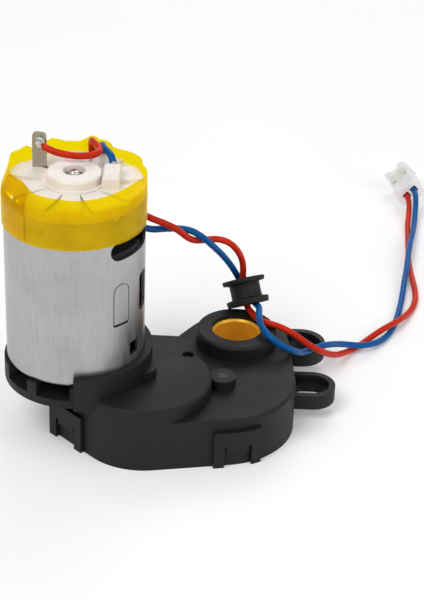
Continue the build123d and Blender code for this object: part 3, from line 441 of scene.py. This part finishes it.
def loose_object(name, mesh):
    made = bpy.data.objects.new(name, mesh)
    bpy.context.scene.collection.objects.link(made)
    return made


def plug_point(side, up, back):
    return PLUG_FACE + PLUG_SIDE * side + PLUG_UP * up + PLUG_BACK * back


def add_plug(material):
    """Two-way housing with a window over each contact, and two ribs at its mating end."""
    bm = bmesh.new()
    box_shell(bm, plug_point(0, 0, PLUG_L / 2), (PLUG_W / 2, PLUG_T / 2, PLUG_L / 2), PLUG_EDGE)
    housing = mesh_from(bm, "plug_housing", smooth=False)
    piece = add_piece("plug_housing", housing, material)
    ribs = []
    for name, side in (("plug_rib_left", -RIB_SIDE), ("plug_rib_right", RIB_SIDE)):
        bm = bmesh.new()
        box_shell(bm, plug_point(side, -PLUG_T / 2 - RIB_OUT, PLUG_L - RIB_END), RIB_HALF, PLUG_EDGE)
        rib = mesh_from(bm, name, smooth=False)
        ribs.append(add_piece(name, rib, material))
    for side in (-PLUG_PITCH / 2, PLUG_PITCH / 2):
        for centre, half in (
            (plug_point(side, 0, CAVITY_MIDDLE), CAVITY_HALF),
            (plug_point(side * WINDOW_SIDE, -PLUG_T / 2, PLUG_L - WINDOW_END), WINDOW_HALF),
        ):
            bm = bmesh.new()
            box_shell(bm, centre, half, HOLE_EDGE)
            cut(piece, loose_object("cutter", mesh_from(bm, "cutter", smooth=False)))
    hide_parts("connector_housing")
    return [piece, *ribs]


# ---------------------------------------------------------------- grommet
def lathe(name, profile, origin, axis, side, rear, segments=64):
    """A closed solid of revolution: profile is (radius, height) all the way round."""
    bm = bmesh.new()
    rows = []
    for k in range(segments):
        a = 2 * math.pi * k / segments
        out = side * math.cos(a) + rear * math.sin(a)
        rows.append([bm.verts.new(mm(origin + out * r + axis * h)) for r, h in profile])
    grid_faces(bm, rows, close_rows=True, close_columns=True)
    return mesh_from(bm, name)


def rounded_profile(corners, radius=0.25, steps=3):
    """A closed outline with each of its corners rounded by a small arc."""
    made = []
    for k, corner in enumerate(corners):
        before, after = Vector(corners[k - 1]), Vector(corners[(k + 1) % len(corners)])
        corner = Vector(corner)
        reach = min(radius, (before - corner).length * 0.45, (after - corner).length * 0.45)
        first = corner + (before - corner).normalized() * reach
        last = corner + (after - corner).normalized() * reach
        for step in range(steps + 1):
            t = step / steps
            made.append(tuple(first * (1 - t) ** 2 + corner * (2 * t * (1 - t)) + last * t ** 2))
    return made


def add_grommet(material):
    flange, neck, bore = 4.65, 3.3, 2.3
    outline = rounded_profile([
        (bore, 0.0), (flange - 0.15, 0.0), (flange, 1.3), (neck, 1.55),
        (neck, 4.6), (flange - 0.1, 4.8), (flange, 5.75), (bore, 5.9),
    ])
    mesh = lathe("rubber_grommet", outline, GROMMET_FOOT, GROMMET_AXIS, GROMMET_SIDE, GROMMET_REAR)
    piece = add_piece("rubber_grommet", mesh, material)
    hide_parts("grommet")
    return piece


# ---------------------------------------------------------------- tape
TAPE_LOW_Z = 46.6
CAN_RIM_Z = 53.0
TAPE_R = 13.98
TAPE_THICK = 0.10
TAPE_STEPS, TAPE_ROWS = 360, 26
LAP_BEARINGS = (-168, -126.5)
LAP_GAP = 0.03             # between the wrap and the lap over it
FOLD_FROM_Z, FOLD_H = 53.6, 3.4
TAPE_TOP = (
    # bearing and height of the tape's torn upper edge, all the way round
    (-180, 57.0), (-165, 57.0), (-155, 56.9), (-137, 56.9), (-128.5, 57.0), (-121, 57.5), (-107, 57.3),
    (-95, 57.2), (-84, 57.0), (-72.6, 57.1), (-60.5, 57.3), (-47, 57.7), (-30, 57.9), (-18, 57.5), (-5, 56.8),
    (5, 56.6), (16, 56.0), (23, 55.7), (26, 56.9), (37, 56.7), (46, 56.4), (55, 56.1), (64, 56.2), (75, 56.6),
    (81.5, 57.2), (86, 56.7), (93, 56.4), (102, 56.5), (107.5, 57.0), (113, 57.4), (119, 56.9), (125, 56.4),
    (132, 56.3), (136, 57.1), (143.7, 56.9), (156, 57.2), (168, 57.0), (180, 57.0),
)
TAPE_FOLD = (
    # bearing and how far the upper edge leans in over the endbell
    (-180, 1.65), (-165, 1.75), (-155, 2.4), (-145, 2.9), (-137, 2.6), (-128.5, 1.7), (-122, 0.7), (-117, 0.15),
    (-105, 0.1), (20, 0.1), (60, 0.0), (150, 0.0), (156, 0.1), (168, 1.0), (180, 1.65),
)
LEAD_BULGE = ((80.0, 14.75), (71.5, 14.75))   # bearing and distance of each lead behind the can
BULGE_OUT, BULGE_FALL = 0.78, 0.28            # over a lead's middle, and how fast it drops beside it


def from_table(table, bearing):
    """Straight runs between the pairs of a table."""
    for (b0, v0), (b1, v1) in zip(table, table[1:]):
        if b0 <= bearing <= b1:
            return v0 + (v1 - v0) * (bearing - b0) / (b1 - b0)
    return table[0][1]


def tape_radius(bearing, z):
    """Round the can, out over the leads at the back, and folded in above the endbell at the left."""
    radius = TAPE_R
    for lead_bearing, lead_r in LEAD_BULGE:
        off = math.radians(bearing - lead_bearing) * lead_r
        radius = max(radius, lead_r + BULGE_OUT - BULGE_FALL * off * off)
    blister = 0.05 * noise.noise(Vector((bearing * 0.09, z * 0.5, 3.0)))
    lean = from_table(TAPE_FOLD, bearing) * max(0.0, (z - FOLD_FROM_Z) / FOLD_H)
    return radius + blister - lean


def add_tape(material):
    """One turn of film and a lapped end, thin, wrinkled at the top and torn along its edge."""
    columns = []
    for k in range(TAPE_STEPS):
        bearing = -180 + 360 * k / TAPE_STEPS
        top = from_table(TAPE_TOP, bearing) + 0.12 * noise.noise(Vector((bearing * 0.35, 0.0, 7.0)))
        bottom = TAPE_LOW_Z + 0.08 * noise.noise(Vector((bearing * 0.06, 5.0, 1.0)))
        columns.append((bearing, bottom, top))
    add_film("tape_wrap", columns, 0.0, True, material)
    first, last = LAP_BEARINGS
    lap = [(b, low + 0.1, top + 0.15) for b, low, top in columns if first <= b <= last]
    add_film("tape_lap", lap, TAPE_THICK + LAP_GAP, False, material)


def add_film(name, columns, outward, closed, material):
    """A thin closed sheet with an inner and an outer face, all the way round or open-ended."""
    bm = bmesh.new()
    inner, outer = [], []
    for bearing, low, top in columns:
        levels = [low + (top - low) * (r / TAPE_ROWS) for r in range(TAPE_ROWS + 1)]
        for sheet, off in ((inner, outward), (outer, outward + TAPE_THICK)):
            places = [around(tape_radius(bearing, z) + off, bearing, z) for z in levels]
            sheet.append([bm.verts.new(mm(place)) for place in places])
    count = len(columns)
    for sheet in (inner, outer):
        grid_faces(bm, sheet, close_rows=closed)
    for k in range(count if closed else count - 1):
        n = (k + 1) % count
        bm.faces.new((inner[k][0], inner[n][0], outer[n][0], outer[k][0]))
        bm.faces.new((inner[k][-1], outer[k][-1], outer[n][-1], inner[n][-1]))
    if not closed:
        for end in (0, -1):
            for r in range(TAPE_ROWS):
                bm.faces.new((inner[end][r], inner[end][r + 1], outer[end][r + 1], outer[end][r]))
    piece = add_piece(name, mesh_from(bm, name), material)
    if closed:
        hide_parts("insulation_tape")
    return piece


BODY_SHARE, MORE_ON_CAN = (0.12, 0.2), 0.16   # how much of the film is its own colour


def tape_film(name, clear, body):
    """See-through amber film: a tinted clear share, and a glossy amber share for its own colour."""
    s = Shader(name)
    cloud = s.noise(0.12, detail=4)
    fine = s.noise(0.8, detail=3)
    crease = s.node("ShaderNodeTexVoronoi", feature="DISTANCE_TO_EDGE")
    crease.inputs["Scale"].default_value = 0.28 / MM
    s.join(s.stretched((1, 1, 0.55)), crease.inputs["Vector"])
    ridge = s.span(crease.outputs["Distance"], 1, 0, 0.0, 0.07)
    normal = s.bump(s.noise(0.22, detail=4), 0.25, 0.35)
    normal = s.bump(ridge, 0.12, 0.5, under=normal)
    s.finish(s.blend(s.span(cloud, 0, 1), tinted(body, 0.86), tinted(body, 1.1)),
             s.span(fine, 0.16, 0.3), normal, Specular_IOR_Level=0.22)
    window = s.node("ShaderNodeBsdfTransparent")
    s.put(s.blend(s.span(cloud, 0, 1), tinted(clear, 0.95), clear), window.inputs["Color"])
    mix = s.node("ShaderNodeMixShader")
    level = s.node("ShaderNodeSeparateXYZ")
    s.join(s.place, level.inputs[0])
    on_can = s.span(level.outputs["Z"], 1, 0, (CAN_RIM_Z - 0.9) * MM, (CAN_RIM_Z + 0.3) * MM)
    share = s.node("ShaderNodeMath", operation="MULTIPLY_ADD")
    s.join(on_can, share.inputs[0])
    share.inputs[1].default_value = MORE_ON_CAN
    s.put(s.span(cloud, *BODY_SHARE), share.inputs[2])
    s.join(share.outputs[0], mix.inputs[0])
    s.join(window.outputs[0], mix.inputs[1])
    s.join(s.body.outputs[0], mix.inputs[2])
    s.join(mix.outputs[0], s.output.inputs["Surface"])
    return s.material


# ---------------------------------------------------------------- solder
def add_solder(name, centre, size, material, node):
    """A lumpy drop of solder, flat against the blade."""
    bm = bmesh.new()
    bmesh.ops.create_icosphere(bm, subdivisions=4, radius=1.0)
    for vertex in bm.verts:
        lump = 1 + 0.14 * noise.noise(vertex.co * 1.7 + Vector((centre[0], 0, 0)))
        peak = 1 + 0.35 * max(0.0, vertex.co.z) ** 2 * (1 - abs(vertex.co.x))
        vertex.co = mm((
            centre[0] + vertex.co.x * size[0] * lump,
            centre[1] + vertex.co.y * size[1] * lump,
            centre[2] + vertex.co.z * size[2] * lump * peak,
        ))
    piece = add_piece(name, mesh_from(bm, name), material)
    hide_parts(node)
    return piece


# ---------------------------------------------------------------- materials
HOUSING = (0.0085, 0.0087, 0.0095)
CREAM = (0.86, 0.80, 0.75)
STEEL = (0.44, 0.44, 0.45)
BRASS = (0.80, 0.56, 0.22)

MATERIALS = {
    "housing_plastic": moulded_plastic("housing_plastic", HOUSING, 0.55, 0.03, gloss=0.28),
    "cover_plastic": moulded_plastic("cover_plastic", tinted(HOUSING, 0.9), 0.55, 0.03, gloss=0.28),
    "endbell_plastic": moulded_plastic("endbell_plastic", CREAM, 0.45, 0.012, dust=(0.8, 0.75, 0.7)),
    "plug_plastic": moulded_plastic("plug_plastic", (0.88, 0.88, 0.86), 0.35, 0.01, dust=(0.82, 0.82, 0.8)),
    "washer_plastic": moulded_plastic("washer_plastic", (0.72, 0.66, 0.52), 0.5),
    "gear_plastic": moulded_plastic("gear_plastic", (0.78, 0.74, 0.62), 0.4, 0.01, dust=(0.7, 0.66, 0.55)),
    "grommet_rubber": moulded_plastic("grommet_rubber", (0.011, 0.011, 0.012), 0.62, 0.03, gloss=0.3),
    "can_steel": metal("can_steel", STEEL, 0.34, (1, 1, 0.12), 1.6, 0.1, 0.006),
    "pin_steel": metal("pin_steel", (0.055, 0.055, 0.055), 0.42, (1, 1, 0.2), 4.0),
    "shaft_steel": metal("shaft_steel", (0.74, 0.70, 0.64), 0.2, (1, 1, 0.2), 4.0),
    "screw_steel": metal("screw_steel", (0.08, 0.08, 0.09), 0.4, metallic=0.8),
    "spring_steel": metal("spring_steel", (0.4, 0.4, 0.42), 0.35),
    "core_steel": metal("core_steel", (0.32, 0.33, 0.35), 0.45, (0.1, 0.1, 3.0), 3.0, 0.3),
    "terminal_tin": metal("terminal_tin", (0.46, 0.44, 0.40), 0.38, (1, 1, 0.15), 3.0),
    "contact_brass": metal("contact_brass", BRASS, 0.35),
    "pinion_brass": metal("pinion_brass", BRASS, 0.3, (1, 1, 0.1), 4.0),
    "sleeve_brass": metal("sleeve_brass", (1.0, 0.50, 0.03), 0.36, (1, 1, 1), 0.3, 0.1, metallic=0.35),
    "bush_bronze": metal("bush_bronze", (0.30, 0.27, 0.22), 0.5),
    "commutator_copper": metal("commutator_copper", (0.72, 0.36, 0.18), 0.3),
    "copper_wire": metal("copper_wire", (0.52, 0.2, 0.06), 0.35, (3, 3, 3), 2.5, 0.35),
    "ferrite": moulded_plastic("ferrite", (0.016, 0.016, 0.018), 0.7, 0.05, gloss=0.2),
    "carbon": moulded_plastic("carbon", (0.03, 0.03, 0.032), 0.6, 0.03),
    "solder": metal("solder", (0.72, 0.72, 0.70), 0.22, streak=0.9, spread=0.2, bump_mm=0.12),
    "tape_film": tape_film("tape_film", (1.0, 0.92, 0.03), (0.95, 0.62, 0.004)),
    "red_wire": wire_insulation("red_wire", (0.56, 0.020, 0.003)),
    "blue_wire": wire_insulation("blue_wire", (0.0, 0.092, 0.32)),
}

for part in frame["record"]["subparts"]:
    node = NODES[part["node"]]
    node.data.materials.clear()
    node.data.materials.append(MATERIALS[part["material_slot"]])


# ---------------------------------------------------------------- building the pieces
def add_lead(name, route, slot):
    return add_piece(name, lead_curve(name, route), MATERIALS[slot])


red = add_lead("red_wire_lead", RED_ROUTE + plug_run(-1), "red_wire")
blue = add_lead("blue_wire_lead", BLUE_ROUTE + plug_run(1), "blue_wire")
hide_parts("red_lead")
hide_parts("blue_lead")
plug_pieces = add_plug(MATERIALS["plug_plastic"])
grommet = add_grommet(MATERIALS["grommet_rubber"])
add_tape(MATERIALS["tape_film"])
add_solder("red_joint", (-26.6, -0.4, 59.8), (0.95, 0.55, 1.0), MATERIALS["solder"], "red_solder")
add_solder("blue_joint", (-12.4, -0.45, 55.5), (0.75, 0.4, 0.75), MATERIALS["solder"], "blue_solder")


# ---------------------------------------------------------------- floor and light
def add_floor():
    bm = bmesh.new()
    bmesh.ops.create_grid(bm, x_segments=1, y_segments=1, size=3.0)
    floor = loose_object("floor", mesh_from(bm, "floor", smooth=False))
    s = Shader("pale_floor")
    floor.data.materials.append(s.finish(
        s.blend(s.span(s.noise(0.01), 0, 1), (0.88, 0.88, 0.88), (0.9, 0.9, 0.9)), 0.9, None,
        Emission_Color=(1, 1, 1, 1), Emission_Strength=0.12))


LIGHT_AIM = Vector((0.0, 0.0, 0.02))


def add_light(name, place, size, watts):
    lamp = bpy.data.lights.new(name, "AREA")
    lamp.shape = "DISK"
    lamp.size = size
    lamp.energy = watts
    made = bpy.data.objects.new(name, lamp)
    bpy.context.scene.collection.objects.link(made)
    made.location = place
    made.rotation_euler = (LIGHT_AIM - Vector(place)).to_track_quat("-Z", "Y").to_euler()


add_floor()
add_light("key", (-0.35, -0.45, 0.75), 0.5, 3.8)
add_light("fill", (0.6, -0.35, 0.5), 0.6, 1.7)
add_light("rim", (0.1, 0.7, 0.6), 0.6, 1.8)

world = bpy.data.worlds.new("studio")
bpy.context.scene.world = world
world.use_nodes = True
background = world.node_tree.nodes["Background"]
background.inputs["Color"].default_value = (1, 1, 1, 1)
background.inputs["Strength"].default_value = 0.45
bpy.context.scene.view_settings.view_transform = "Standard"
